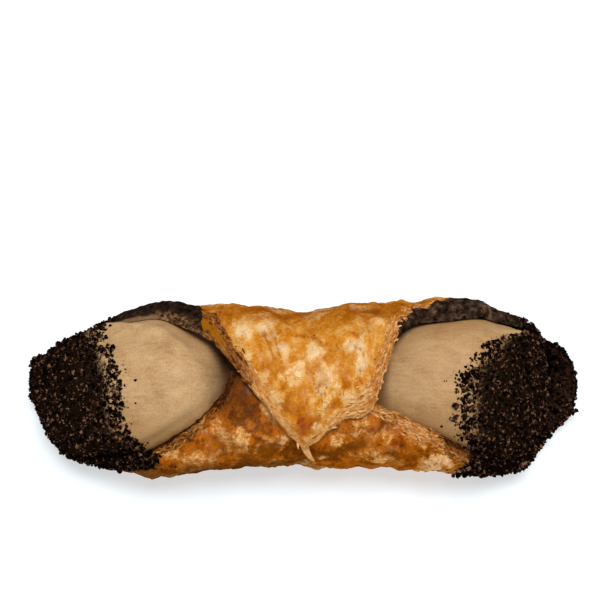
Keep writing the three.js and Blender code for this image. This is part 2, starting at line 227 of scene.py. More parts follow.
def crease(x, alpha):
    """The groove that was pressed slantwise across the back corner."""
    line = np.radians(94 + 1.55 * x)
    away = (alpha - line) * ARC_RADIUS / CREASE_HALF
    return CREASE_DEPTH * np.exp(-away * away) * smooth(x, -3, 3) * (1 - smooth(x, 19, 23))


# Where the crumbs begin, as x by v: the ends were dipped at a slant.
left_dip = curve(
    (-22, -53), (-20.8, -47), (-19.5, -38), (-16, -37), (-13.5, -39), (-11, -42.5), (-5, -44), (3, -45),
    (9, -47), (13.5, -50), (20, -53))
right_dip = curve(
    (-22, 39), (-18.5, 40.5), (-14.8, 40.8), (-10, 38.6), (2.5, 38.4), (7.4, 40.8), (10, 44), (12.7, 47),
    (13.8, 51.5), (14.4, 57), (20, 60))
UNDER_DIP = 50  # the same underneath, where the dip ended square to the roll


def past_dip(p):
    """Millimetres past the line where the crumbs begin."""
    under = smooth(-p[..., 2], 2, 9)
    left = -mixed(left_dip(p[..., 1]), -UNDER_DIP, under)
    right = mixed(right_dip(p[..., 1]), UNDER_DIP, under)
    return np.abs(p[..., 0]) - np.where(p[..., 0] < 0, left, right)


# Chocolate was brushed round the back of each mouth: x by how far from the inner rim it reaches.
left_band = curve((-28, 16), (-26.8, 9), (-25.6, 4.4), (-24.6, 1), (-22.5, -0.6), (-18.5, -3))
right_band = curve((20.5, -2), (22, 0.8), (25, 2.2), (29.5, 3.6), (33, 5), (37, 6.8), (41, 9.5), (45, 16))


def ridges(x, y, seed):
    """Thin crests, like the creases of crumpled film: 1 on a crest, one lump of noise to the unit."""
    x, y = 0.8 * x - 0.6 * y, 0.6 * x + 0.8 * y
    bend = 0.7 * lumps(x / 1.9, y / 1.9, seed + 0.5)
    return (1 - np.abs(lumps(x + bend, y - bend, seed))) ** 2


def facets(x, y, seed):
    """Crumpled facets that meet in sharp valleys, one to the unit: height and a number for each facet."""
    height, facet = np.zeros_like(x), np.zeros_like(x)
    for di in (-1, 0, 1):
        for dj in (-1, 0, 1):
            i, j = np.floor(x) + di, np.floor(y) + dj
            dx = x - i - 0.15 - 0.7 * scatter(i, j, seed)
            dy = y - j - 0.15 - 0.7 * scatter(i, j, seed + 1)
            turn = 6.28 * scatter(i, j, seed + 2)
            slope = 0.55 * (dx * np.cos(turn) + dy * np.sin(turn)) - 0.8 * np.sqrt(dx * dx + dy * dy + 0.02)
            level = 0.5 + 0.5 * scatter(i, j, seed + 3) + slope
            facet = np.where(level > height, scatter(i, j, seed + 4), facet)
            height = np.maximum(height, level)
    return height, facet


def stairs(v, steps):
    """Climbs from 0 to 1 in steps with sharp edges."""
    v = np.clip(v, 0, 1) * steps
    return (np.floor(v) + smooth(v - np.floor(v), 0.65, 1)) / steps


# Pale flakes and blisters on the two corners that lap: x, v and half-sizes along x and v.
BACK_FLAKES = (
    (-14, 14.5, 2.6, 1.6), (-9, 15, 2.6, 1.8), (-4.6, 10.6, 2.2, 2.2), (-1.9, 4.2, 2.9, 3.3),
    (5.6, 2.2, 3.4, 4.6), (14.4, 6, 1.7, 6.5), (3.3, 10, 2.4, 1.7), (-9.6, 3.4, 1.4, 1.8),
    (-6.4, -1.6, 2, 3), (-7.2, -6.4, 2.6, 1.6), (1.4, -12, 2.4, 1.8), (3.6, -8.8, 1.6, 1.4),
    (11.4, -0.6, 2.4, 2.2), (8.6, -5.6, 2.2, 1.6), (11.6, 11.4, 1.6, 1.6), (-13.6, 8.4, 1.2, 1.2))
FRONT_FLAKES = (
    (-15.2, -11.6, 1.9, 1.8), (-22.3, -10, 1.5, 2), (-31.4, -13.8, 1.5, 2), (-15.4, -10, 1, 1.8),
    (-21.7, -8, 1.8, 1.2), (14.4, -7.2, 1.6, 1.6), (19.8, -10.2, 1.3, 1.2), (28.8, -12.2, 3.4, 1.7),
    (34.4, -17.4, 4, 2.1), (20, -16.8, 1.7, 1.3), (8.8, -11.4, 2, 1.5), (-27, -16, 2.2, 1.3))
TOASTED = ((0.2, -8.3, 1.9, 2.5), (23.4, -12.6, 1.5, 1.6), (-25.6, -13.8, 1.6, 1.1), (20.6, -15.2, 1.6, 0.9))
AMBER = ((27.4, -13.8, 2.2, 2), (-27.5, -14.4, 1.8, 1.3), (-12.4, -8.4, 1.2, 1.4), (19, -8, 1.6, 1.4))
# Two flakes on the front corner painted lighter, as painted light where they turn from the lamp: x, v and
# half-sizes.
PAINTED_LIGHT_SPOTS = ((34.6, -17.6, 5, 2.4), (-34, -15, 1.8, 2.4))
# Where the crust is smooth, dark and glassy; the spot at x 3.6, beside the end of the hanging leaf, is
# painted shadow.
DARK_SPOTS_AND_SHADOW = (
    (12.6, -13.2, 2.2, 1.7), (3.6, -16, 2.4, 1.3), (23, -16, 1.2, 1.2), (-8, -14.6, 3.4, 2),
    (-14, -17, 2.8, 1.4))


def near_any(spots, p, wobble):
    """1 in the middle of each spot, down to 0 round it, with an outline that wobbles."""
    best = np.zeros(p.shape[:-1])
    for x, v, half_x, half_v in spots:
        d = np.hypot((p[..., 0] - x) / half_x, (p[..., 1] - v) / half_v)
        best = np.maximum(best, 1 - smooth(d + wobble, 0.45, 1.45))
    return best * (p[..., 2] > 0)


WIPED_IN = 0.38  # how much of the gap was filled where cream was wiped over the back rim on the left
FACET, CRISP = 3.9, 1.35  # width of the crumpled facets, and of the small flakes on them


def sheet_surface(p, q, outside):
    """The rolled sheet's outer or inner face, with what its colours need."""
    u, t = p - q, p + q - 1
    x = along_roll(u)
    alpha = wrap_angle(u, t, outside)
    s = alpha * ARC_RADIUS
    offset = CREAM_GAP + lap_lift(x, alpha)

    def place(h):
        return section(x, math.pi - alpha, h, wrap_top(x), depth(x))

    back = t > 0
    edge = SIDE * np.minimum(np.minimum(p, 1 - p), np.minimum(q, 1 - q))
    if not outside:
        wiped = back * smooth(x, -56, -50) * (1 - smooth(x, -33, -27)) * (1 - smooth(edge, 1.5, 4))
        return place(offset - WIPED_IN * wiped), {}
    skin = offset + thickness(p, q)
    bare = place(skin)
    v, w = bare[..., 1], bare[..., 2]
    wobble = 0.5 * lumps(x / 2.1, s / 2.1, 21) + 0.45 * lumps(x / 1.0, s / 1.0, 22)
    picked = np.where(back, near_any(BACK_FLAKES, bare, wobble), near_any(FRONT_FLAKES, bare, wobble))
    toasted = near_any(TOASTED, bare, wobble)
    deep = near_any(DARK_SPOTS_AND_SHADOW, bare, wobble)
    seen = back & (w > 4) & (np.abs(x) < 26)
    strayed = lumps(x / 4.3, s / 4.3, 33) + 0.5 * lumps(x / 1.9, s / 1.9, 34)
    strayed = smooth(strayed, 0.35, 1.0) * np.where(seen, 0.35, 0.75)
    raised = blisters(x, s)
    bent, swerved = x + 1.1 * lumps(x / 3, s / 3, 84), s + 1.1 * lumps(x / 3, s / 3, 85)
    crumpled, hue = facets(bent / FACET, swerved / FACET, 81)
    pale = np.maximum(picked, strayed) + 0.25 * smooth(crumpled, 0.5, 0.9)
    pale = pale - 0.35 * (1 - smooth(crumpled, 0.1, 0.5))
    pale = np.clip(pale, 0, 1) * (1 - np.maximum(toasted, deep))
    crisp, crumb_hue = facets(bent / CRISP, swerved / CRISP, 41)
    hue = mixed(0.72 * hue + 0.28 * crumb_hue, 0.5, near_any(AMBER, bare, wobble))
    relief = raised + 0.35 * lumps(x / 13, s / 13, 5) - crease(x, alpha)
    rugged = np.where(seen, 0.75, 1.9 - 1.0 * smooth(np.abs(v), 14.5, 17.5))
    relief = relief + rugged * (crumpled - 0.55) * (1 - 0.7 * deep)
    flaky = np.where(back, 0.25, 0.6) * (1 - deep) + 0.35 * pale
    flaky = flaky * (crisp - 0.5) + 0.3 * pale + 0.08 * lumps(x / 1.6, s / 1.6, 52)
    # Towards the cut edge the outer leaves have broken back, each a little further than the next.
    ragged = edge + 0.8 * lumps(x / 2.6, s / 2.6, 40) + 0.35 * lumps(x / 0.9, s / 0.9, 43)
    broken = 1 - stairs((ragged - 0.2) / 2.9, 3)
    stray = 1.6 * lumps(x / 2.4, s / 2.4, 44) + 1.0 * lumps(x / 1.1, s / 1.1, 45)
    brushed = np.where(back, np.where(x < 0, left_band(x), right_band(x)) + stray - edge, -9)
    past = past_dip(bare) + 1.6 * lumps(x / 3, s / 3, 60) + 0.9 * lumps(x / 1.1, s / 1.1, 63)
    coated = np.maximum(smooth(brushed - thickness(p, q), -0.3, 0.3), smooth(past, 1.2, 2.6))
    dipped = smooth(past, -0.5, 1.5)
    clotted = 0.2 * lumps(x / 1.1, s / 1.1, 61) + 0.7 * (facets(bent / 2.2, swerved / 2.2, 62)[0] - 0.5)
    lapped = smooth(-alpha, math.radians(165), math.radians(185)) * (1 - smooth(np.abs(x), 14, 20))
    height = mixed((relief + flaky) * (1 - 0.85 * lapped), 0.45 * relief + 0.1 + clotted, coated)
    height = mixed(height, 0.15 * relief + 0.1 + clotted, dipped)
    height = height - 0.62 * broken * (1 - 0.6 * np.maximum(coated, dipped)) * (1 - lapped)
    torn = x - 47.6 - 0.5 * lumps(v / 2, w / 2, 73)
    height = height - 0.5 * back * (w > 0) * smooth(torn, 0, 0.7) * (1 - smooth(torn, 4, 9))
    cracks = smooth(ridges(x / 3.6, s / 3.6, 71), 0.84, 0.97) * smooth(lumps(x / 7, s / 7, 72), -0.4, 0.3)
    back_rim = 2.2 * smooth(u, 0.08, 0.16) + 2.8 * smooth(u, -0.22, -0.14) * (1 - smooth(u, -0.05, 0.01))
    # Painted light: the upper part of the back corner is made lighter.
    painted_light_back = seen * smooth(v, 4, 12) * (1 - smooth(v, 16, 19))
    fair_back = 0.1 + 0.6 * smooth(u, -0.2, -0.06) + 0.35 * smooth(u, 0, 0.04) * (1 - smooth(u, 0.15, 0.22))
    fair_front = 0.2 + 0.6 * smooth(x, 10, 16) * (1 - smooth(x, 28, 38))
    # Painted shade along the lower front edge of the front corner, stronger on the left.
    bottom_shade = (1 - back) * smooth(-np.abs(np.degrees(alpha) + 95), -36, -14)
    # Numbers of about 0 to 1, but for three lengths in millimetres: brushed, rind and along.
    marks = {
        "pale": pale,
        "toasted": toasted,
        "coated": coated,
        "dipped": dipped,
        "hue": hue,
        "cracks": cracks,
        "rim": 1 - smooth(ragged, 0.4, 2.6 + back * back_rim),
        "browned": np.where(back, 0.4 * smooth(v, 15, 19), 1),
        # Painted light on the upper back and on two front flakes.
        "painted_light": np.where(back, painted_light_back, 2 * near_any(PAINTED_LIGHT_SPOTS, bare, wobble)),
        "pressed": back * smooth(u, -0.19, -0.12) * (1 - smooth(u, 0.1, 0.2)),
        "fair": np.where(back, fair_back, fair_front),
        # Painted shade in the valleys between facets, together with the dark spots.
        "low": np.maximum(1 - smooth(crumpled + 0.3 * crisp, 0.2, 0.75), deep),
        "crease": crease(x, alpha) / CREASE_DEPTH,
        "torn": back * (w > 0) * np.exp(-(torn / 0.4) ** 2),
        "glossy": (1 - smooth(np.abs(v), 7, 14)) * (w > 0),
        "bottom_shade": bottom_shade * (0.4 + 0.6 * smooth(-x, -8, 6)),
        # Painted shade on the front corner under the edge of the lapped back corner.
        "shade_under_flap": (1 - back) * smooth(x, -25, -19) * (1 - smooth(x, -14, -9)) * smooth(v, -9, -2),
        "brushed": brushed,
        "rind": edge,
        "along": u * SIDE,
    }
    return place(skin + height), marks


def lay_down(points):
    """From the roll's own frame, its seam up, to the table: the seam turns to the front."""
    x, v, w = points[..., 0], points[..., 1], points[..., 2]
    turn = math.radians(SEAM_TURN)
    y = v * math.cos(turn) - w * math.sin(turn) - AXIS_FRONT
    z = v * math.sin(turn) + w * math.cos(turn) + AXIS_HEIGHT
    return np.stack([x, y, np.maximum(z, 0)], axis=-1)


def coordinates(mesh):
    flat = np.empty(len(mesh.vertices) * 3)
    mesh.vertices.foreach_get("co", flat)
    return flat.reshape(-1, 3)


def reshape(mesh, points):
    mesh.vertices.foreach_set("co", np.ascontiguousarray(points, dtype=float).ravel())
    mesh.update()


def settle(mesh):
    """Puts corners and faces in one order, the same in every run: the random draws go by it."""
    places = np.round(coordinates(mesh), 6)
    order = np.lexsort(places.T)
    rank = np.argsort(order)
    rings = [rank[list(face.vertices)] for face in mesh.polygons]
    faces = sorted(np.roll(ring, -np.argmin(ring)).tolist() for ring in rings)
    mesh.clear_geometry()
    mesh.from_pydata(places[order].tolist(), [], faces)


def mark(mesh, name, values):
    """A number at each corner of a mesh, for its material to read."""
    attribute = mesh.attributes.new(name, "FLOAT", "POINT")
    attribute.data.foreach_set("value", np.asarray(values, dtype=np.float32))


# The dough as it is cut: a flat square, its edges divided into leaves.
bpy.ops.object.select_all(action="DESELECT")
bpy.ops.mesh.primitive_grid_add(x_subdivisions=SHEET_CELLS, y_subdivisions=SHEET_CELLS, size=1)
sheet = bpy.context.object
sheet.name = "pastry_sheet"
bpy.ops.object.mode_set(mode="EDIT")
bpy.ops.mesh.select_all(action="SELECT")
bpy.ops.mesh.extrude_region_move(TRANSFORM_OT_translate={"value": (0, 0, 1)})
bpy.ops.mesh.select_mode(type="EDGE")
bpy.ops.mesh.select_all(action="DESELECT")
bpy.ops.object.mode_set(mode="OBJECT")
ends = np.empty(len(sheet.data.edges) * 2, dtype=int)
sheet.data.edges.foreach_get("vertices", ends)
heights = coordinates(sheet.data)[ends.reshape(-1, 2), 2]
sheet.data.edges.foreach_set("select", np.abs(heights[:, 0] - heights[:, 1]) > 0.5)
bpy.ops.object.mode_set(mode="EDIT")
bpy.ops.mesh.subdivide(number_cuts=EDGE_LEAVES - 1)
bpy.ops.mesh.select_all(action="SELECT")
bpy.ops.mesh.normals_make_consistent(inside=False)
bpy.ops.object.mode_set(mode="OBJECT")
settle(sheet.data)

# The dough as it is rolled and baked: the flat square's x, y and z become its place on the roll,
# with z from 0 on the outer face to 1 on the inner face.
square = coordinates(sheet.data)
p, q, through = square[:, 0] + 0.5, square[:, 1] + 0.5, square[:, 2]
outer, marks = sheet_surface(p, q, True)
inner, _ = sheet_surface(p, q, False)
within = sheet_surface(np.clip(p, 0.02, 0.98), np.clip(q, 0.02, 0.98), False)[0]
outward = inner - within
outward /= np.maximum(np.linalg.norm(outward, axis=1, keepdims=True), 1e-6)
cut = np.sin(math.pi * through)
into = thickness(p, q) * through
layered = lumps(inner[:, 0] / 5, inner[:, 1] / 5, 0) * 0.12 + through
split = np.sin(2 * math.pi * LAYERS * layered + 2.6 * lumps(*(inner.T / 3)))
push = cut * (0.75 + 0.45 * lumps(*(inner.T / 3)) + 0.2 * split + 0.3 * lumps(*(inner.T / 0.9)))
rolled = mixed(outer, inner, through[:, None]) + outward * (push * thickness(p, q) / SHEET)[:, None]
cad_low, cad_high = np.array(cad_box[0]) / MM + SKIN, np.array(cad_box[1]) / MM - SKIN
reshape(sheet.data, np.clip(lay_down(rolled), cad_low, cad_high) * MM)
on_back, on_front = p + q > 1, p + q < 1
lengthwise = outer[:, 0]
smudge = through + 0.15 * lumps(*(inner.T / 2.2))
marks["inside"] = through > 0.999
marks["cut"] = smooth(cut, 0, 0.35)
marks["rind"] = marks["rind"] - into
brushed = marks.pop("brushed") - (thickness(p, q) - into)
coat_of_cut = np.maximum(smooth(brushed, -0.3, 0.3), marks["coated"] * marks["dipped"])
marks["coated"] = np.where(through > 0, coat_of_cut, marks["coated"])
burst = np.exp(-((p - q + 0.285) / 0.055) ** 4)
marks["hollow"] = on_back * smooth(through, 0.12, 0.3) * (1 - smooth(through, 0.65, 0.85)) * burst
marks["smeared"] = on_back * smooth(lengthwise, -55, -50) * (1 - smooth(lengthwise, -37, -29))
marks["smeared"] *= smooth(smudge, 0.6, 0.74)
marks["speckled"] = on_back * smooth(lengthwise, -40, -34) * (1 - smooth(lengthwise, -26, -21))
marks["speckled"] *= smooth(smudge, 0.3, 0.6)
marks["fair"] = np.maximum(marks["fair"], marks["pressed"])
along = marks["along"]
spared = smooth(along, -15, -5) * (0.7 - 0.5 * smooth(along, 38, 50))
charred_and_shaded = on_front * smooth(through + 0.2 * lumps(*(inner.T / 1.6)), 0.15, 0.45) * (1 - spared)
# The front corner's cut edge is charred dark, and is also painted dark as shade under the lapped back corner.
marks["charred_and_shaded"] = np.maximum(charred_and_shaded, 0.8 * marks["shade_under_flap"])
by_rim = 1 - smooth(marks["rind"] + into, 0.8, 3)
marks["singed"] = on_front * smooth(along, -58, -50) * (1 - smooth(along, -20, -12)) * by_rim
for name, values in marks.items():
    mark(sheet.data, name, values)
bpy.ops.object.select_all(action="DESELECT")
sheet.select_set(True)
bpy.context.view_layer.objects.active = sheet
bpy.ops.object.shade_smooth()


class Wire:
    """A shader socket that takes part in Python expressions."""

    def __init__(self, finish, socket):
        self.finish, self.socket = finish, socket

    def maths(self, operation, *values):
        return self.finish.node("Math", dict(enumerate(values)), operation=operation)

    def __add__(self, other):
        return self.maths("ADD", self, other)

    def __sub__(self, other):
        return self.maths("SUBTRACT", self, other)

    def __rsub__(self, other):
        return self.maths("SUBTRACT", other, self)

    def __mul__(self, other):
        return self.maths("MULTIPLY", self, other)

    __radd__, __rmul__ = __add__, __mul__

    def __abs__(self):
        return self.maths("ABSOLUTE", self)

    def over(self, low, high):
        """A mask: 0 below low, 1 above high."""
        return self.finish.node(
            "MapRange", {0: self, 1: low, 2: high, 3: 0, 4: 1}, interpolation_type="SMOOTHSTEP")


class Finish:
    """A material, built by naming nodes and what goes into them."""

    def __init__(self, name):
        self.material = bpy.data.materials.new(name)
        self.material.use_nodes = True
        self.tree = self.material.node_tree
        self.surface = self.tree.nodes["Principled BSDF"]
        self.place = Wire(self, self.tree.nodes.new("ShaderNodeTexCoord").outputs["Object"])

    def node(self, kind, sockets, output=0, stops=None, **settings):
        """Any node: its settings and a ramp's stops come first, then what goes into its sockets."""
        new = self.tree.nodes.new("ShaderNode" + kind)
        for key, value in settings.items():
            setattr(new, key, value)
        if stops:
            ramp = new.color_ramp
            for _ in stops[2:]:
                ramp.elements.new(0.5)
            for element, (position, colour) in zip(ramp.elements, stops):
                element.position, element.color = position, colour
        for key, value in sockets.items():
            self.feed(new.inputs[key], value)
        return Wire(self, new.outputs[output])

    def feed(self, socket, value):
        if isinstance(value, Wire):
            self.tree.links.new(value.socket, socket)
        else:
            socket.default_value = value

    def mix(self, share, a, b):
        return self.node("Mix", {0: share, 6: a, 7: b}, output=2, data_type="RGBA")

    def noise(self, size, detail=3, roughness=0.55, distortion=0.0, place=None):
        """Noise from 0 to 1 whose lumps are size millimetres across."""
        return self.node("TexNoise", {
            "Vector": place or self.place, "Scale": 1 / (size * MM), "Detail": detail,
            "Roughness": roughness, "Distortion": distortion})

    def painted(self, name):
        """The number that the mesh was marked with under this name."""
        return self.node("Attribute", {}, output=2, attribute_name=name)

    def ramp(self, factor, *stops):
        return self.node("ValToRGB", {0: factor}, stops=stops)

    def bump(self, height, distance):
        return self.node("Bump", {"Height": height, "Distance": distance * MM, "Strength": 1.0})

    def wear(self, **sockets):
        """Puts the finish on the surface's own sockets."""
        for name, value in sockets.items():
            self.feed(self.surface.inputs[name.replace("_", " ")], value)


OVERHEAD, LOW = 1.3, 0.93  # how brightly the stage lights what faces up and what faces the front


def colour(red, green, blue, light=OVERHEAD):
    """A colour as it looks in that light, where 255 is white, as the light values a shader takes."""
    linear = [c / 255 / 12.92 if c < 10 else ((c / 255 + 0.055) / 1.055) ** 2.4 for c in (red, green, blue)]
    return (*(c / light for c in linear), 1)


SWIRL = 5 * MM  # how far the pattern of the crust is pulled about
baked = Finish("baked_pastry")
browned, pale, low = baked.painted("browned"), baked.painted("pale"), baked.painted("low")
drift = baked.node("TexNoise", {"Vector": baked.place, "Scale": 1 / (4 * MM), "Detail": 2.0}, output=1)
swirled = baked.node("VectorMath", {0: drift, 1: (SWIRL,) * 3, 2: baked.place}, operation="MULTIPLY_ADD")
mottle = baked.noise(5.5, detail=3, distortion=0.7)
speckle = baked.noise(0.8, detail=3)
fine = baked.noise(0.4, detail=2)
puffs = 1 - 1.35 * baked.node(
    "TexVoronoi", {"Vector": swirled, "Scale": 1 / (1.9 * MM), "Smoothness": 0.35}, feature="SMOOTH_F1")
wrinkles = abs(baked.noise(1.0, detail=2, place=swirled) - 0.5) * 6
crumb = baked.noise(1.2, detail=4, roughness=0.7, distortion=0.5)
cells = baked.node("TexVoronoi", {"Vector": swirled, "Scale": 1 / (1.1 * MM)}, feature="DISTANCE_TO_EDGE")
crackle = (1 - cells.over(0.0, 0.12)) * pale
tone = (
    0.28 + (mottle - 0.5) * 0.8 + pale * (puffs * 0.14 + wrinkles * 0.2 + 0.4) + (puffs - 0.5) * 0.14
    # Painted light: the upper back and two front flakes are made lighter.
    + baked.painted("painted_light") * 0.17
    + (crumb - 0.5) * browned * 0.9
    + (wrinkles - 0.5) * 0.12 + (speckle - 0.5) * 0.35 + (fine - 0.5) * 0.2)
# The crust is golden on the back corner and browner in front, and no two facets are quite alike.
golden = baked.ramp(
    tone, (0, colour(176, 82, 6)), (0.16, colour(206, 110, 14)), (0.32, colour(226, 137, 28)),
    (0.46, colour(240, 158, 52)), (0.6, colour(253, 187, 98)), (0.76, colour(261, 208, 136)),
    (1, colour(267, 226, 172)))
brown = baked.ramp(
    tone, (0, colour(96, 45, 4, LOW)), (0.18, colour(122, 61, 7, LOW)), (0.34, colour(146, 77, 12, LOW)),
    (0.5, colour(172, 98, 25, LOW)), (0.64, colour(196, 124, 48, LOW)), (0.8, colour(216, 154, 84, LOW)),
    (1, colour(232, 184, 130, LOW)))
skin = baked.mix(browned, golden, brown)
hue = baked.painted("hue") + (speckle - 0.5) * 0.5 + (mottle - 0.5) * 0.5
golden_hues = baked.ramp(
    hue, (0.1, colour(184, 96, 14)), (0.35, colour(206, 124, 32)), (0.58, colour(220, 146, 54)),
    (0.75, colour(236, 180, 106)), (0.9, colour(250, 212, 160)))
brown_hues = baked.ramp(
    hue, (0.1, colour(80, 40, 6, LOW)), (0.3, colour(126, 64, 10, LOW)), (0.44, colour(182, 94, 10, LOW)),
    (0.56, colour(194, 108, 20, LOW)), (0.66, colour(178, 102, 42, LOW)), (0.8, colour(210, 148, 78, LOW)),
    (0.95, colour(240, 196, 136, LOW)))
hued = baked.mix(browned, golden_hues, brown_hues)
skin = baked.mix((1 - pale) * (1 - low) * (browned * 0.35 + 0.3), skin, hued)
skin = baked.mix(crackle * 0.3, skin, colour(206, 124, 44))
# Toasted spots, painted shade in the valleys, cracks, painted shade in the groove and along the bottom edge
# under the seam, scorches and pits.
burnt = baked.mix(browned, colour(180, 72, 0), colour(140, 56, 0, LOW))
toasted = baked.painted("toasted") * (puffs + 0.4) + (speckle - 0.5) * 0.9
skin = baked.mix(toasted.over(0.2, 1.0) * 0.95, skin, burnt)
# The valleys between the crumpled facets are darkened as painted shade, and the dark glassy spots with them.
valley = baked.mix(browned, colour(180, 88, 8), colour(120, 62, 10, LOW))
skin = baked.mix(low * (browned * 0.1 + 0.55), skin, valley)
cracked = baked.mix(browned, colour(166, 80, 16), colour(90, 44, 10, LOW))
skin = baked.mix(baked.painted("cracks") * 0.75, skin, cracked)
# Painted shade in the groove pressed across the back corner.
creased = (baked.painted("crease") + (crumb - 0.5) * 3).over(0.35, 1.1)
skin = baked.mix(creased * 0.6, skin, colour(136, 74, 28))
# Painted shade on the front corner under the lapped back corner.
skin = baked.mix(baked.painted("shade_under_flap") * 0.7, skin, colour(86, 41, 8))
# Painted shade along the bottom edge of the front corner.
painted_bottom_shade = (baked.painted("bottom_shade") + (crumb - 0.5) * 2).over(0.35, 1.1)
skin = baked.mix(painted_bottom_shade * 0.75, skin, colour(84, 46, 16))
scorched = baked.noise(1.3, detail=4, roughness=0.7, distortion=0.3)
scorched = scorched.over(0.6, 0.68) * (browned * 0.5 + baked.painted("rim") * 0.4 + 0.08)
skin = baked.mix(scorched, skin, colour(74, 36, 12))
pits = baked.node("TexVoronoi", {"Vector": baked.place, "Scale": 1 / (3.2 * MM), "Randomness": 1.0})
pit = (1 - (pits + (fine - 0.5) * 0.15).over(0.05, 0.11)) * (speckle + mottle).over(0.9, 1.05)
skin = baked.mix(pit * 0.8, skin, colour(96, 48, 20))
# The leaves in the cut edge show as strands, fine across the edge and long beside it.
beside_edge = baked.node("CombineXYZ", {
    0: baked.painted("rind") * (MM / 0.35), 1: baked.painted("along") * (MM / 2.2), 2: mottle * 0.004})
strands = baked.noise(1.0, detail=3, roughness=0.6, distortion=0.4, place=beside_edge)
grain = crumb * 0.35 + strands * 0.65
dark_leaves = baked.ramp(
    grain, (0.34, colour(70, 34, 14)), (0.44, colour(118, 66, 30)), (0.51, colour(156, 98, 54)),
    (0.58, colour(192, 136, 90)), (0.68, colour(226, 178, 134)))
fair_leaves = baked.ramp(
    grain, (0.34, colour(152, 80, 24)), (0.44, colour(214, 128, 50)), (0.54, colour(242, 170, 94)),
    (0.66, colour(258, 208, 146)))
leaved = baked.mix(baked.painted("fair"), dark_leaves, fair_leaves)
squeezed = baked.ramp(
    grain, (0.36, colour(170, 98, 36, LOW)), (0.47, colour(208, 145, 78, LOW)),
    (0.58, colour(232, 184, 124, LOW)))
leaved = baked.mix(baked.painted("pressed") * 0.4, leaved, squeezed)
# Charred leaves, and leaves painted dark as shade under the lapped corner.
leaved = baked.mix(baked.painted("charred_and_shaded"), leaved, colour(62, 30, 12))
edge_mask = (baked.painted("rim") * 0.8 + baked.painted("cut") + (speckle - 0.5) * 0.7).over(0.35, 0.8)
skin = baked.mix(edge_mask, skin, leaved)
singed = (baked.painted("singed") + (crumb - 0.5) * 3).over(0.95, 1.2)
skin = baked.mix(singed * 0.85, skin, colour(40, 20, 9))
# A burst bubble in the cut edge, and the side that lies against the cream.
hollow = baked.painted("hollow")
skin = baked.mix(hollow, skin, colour(180, 108, 12))
crusty = baked.ramp(speckle, (0.35, colour(96, 52, 18)), (0.65, colour(160, 100, 50)))
skin = baked.mix(baked.painted("inside"), skin, crusty)
# Chocolate on the rims of both mouths, with cream and crumbs wiped over it, and the dipped ends.
clots = baked.noise(1.6, detail=5, roughness=0.7)
chocolate = baked.ramp(
    clots, (0.36, colour(24, 14, 8)), (0.45, colour(50, 35, 26)), (0.53, colour(72, 53, 41)),
    (0.62, colour(104, 80, 62)), (0.7, colour(150, 118, 92)))
chocolate = baked.mix((0 - baked.painted("along")).over(20, 40) * 0.6, chocolate, colour(24, 15, 11))
coated = (baked.painted("coated") + (speckle - 0.5) * 0.8 + (fine - 0.5) * 0.6).over(0.4, 0.6)
skin = baked.mix(coated, skin, chocolate)
skin = baked.mix(baked.painted("smeared"), skin, colour(156, 124, 88))
flecks = baked.ramp(crumb, (0.4, colour(50, 30, 18)), (0.5, colour(116, 78, 46)), (0.6, colour(178, 138, 96)))
skin = baked.mix(baked.painted("speckled") * (1 - hollow) * 0.85, skin, flecks)
skin = baked.mix(baked.painted("torn") * 0.7, skin, colour(150, 112, 88))
soaked = baked.mix(
    baked.painted("inside") * clots.over(0.4, 0.62) * 0.9, colour(18, 11, 8), colour(66, 43, 32))
skin = baked.mix(baked.painted("dipped").over(0.3, 0.8), skin, soaked)
relief = (
    puffs * (pale * 0.1 + 0.25) + wrinkles * 0.22 + speckle * 0.3 + fine * 0.15
    + grain * edge_mask * (1 - hollow) * (1 - coated) * 0.9 + clots * coated * 1.6 - pit * 0.5)
baked.wear(
    Base_Color=skin,
    Roughness=0.7,
    Coat_Weight=baked.painted("glossy") * (1 - edge_mask) * (1 - coated) * 0.3,
    Normal=baked.bump(relief, 0.45))
baked.surface.inputs["Specular IOR Level"].default_value = 0.0
baked.surface.inputs["Coat Roughness"].default_value = 0.25
baked.surface.inputs["Coat IOR"].default_value = 1.4
sheet.data.materials.clear()
sheet.data.materials.append(baked.material)
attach(sheet, "root")
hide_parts("pastry")


# ---- Loose leaves -------------------------------------------------------------------------------
# The baked dough is many thin leaves. Where the sheet was cut and pressed, strips of the outer ones have
# come up along its rims, crisp and still held by one edge.

LEAVES = 1700
LEAF = 0.95  # half-length of one
LEAF_SHAPE = (1, 0.22, 0.1)


def triangles(mesh):
    """The corners of each triangle of a mesh."""
    mesh.calc_loop_triangles()
    flat = np.empty(len(mesh.loop_triangles) * 3, dtype=np.int32)
    mesh.loop_triangles.foreach_get("vertices", flat)
    return flat.reshape(-1, 3)


def spread(places, faces, weight, count, random):
    """Places strewn over faces, as thick as each face's weight, with the way out from each."""
    a, b, c = places[faces].transpose(1, 0, 2)
    out = np.cross(b - a, c - a)
    area = np.linalg.norm(out, axis=1)
    chance = area * weight
    chosen = random.choice(len(faces), count, p=chance / chance.sum())
    r, k = np.sqrt(random.random(count)), random.random(count)
    at = (1 - r)[:, None] * a[chosen] + (r * (1 - k))[:, None] * b[chosen] + (r * k)[:, None] * c[chosen]
    return at, out[chosen] / area[chosen, None], chosen


def unit(rows):
    """Each row as a direction of length 1."""
    return rows / np.maximum(np.linalg.norm(rows, axis=1, keepdims=True), 1e-9)


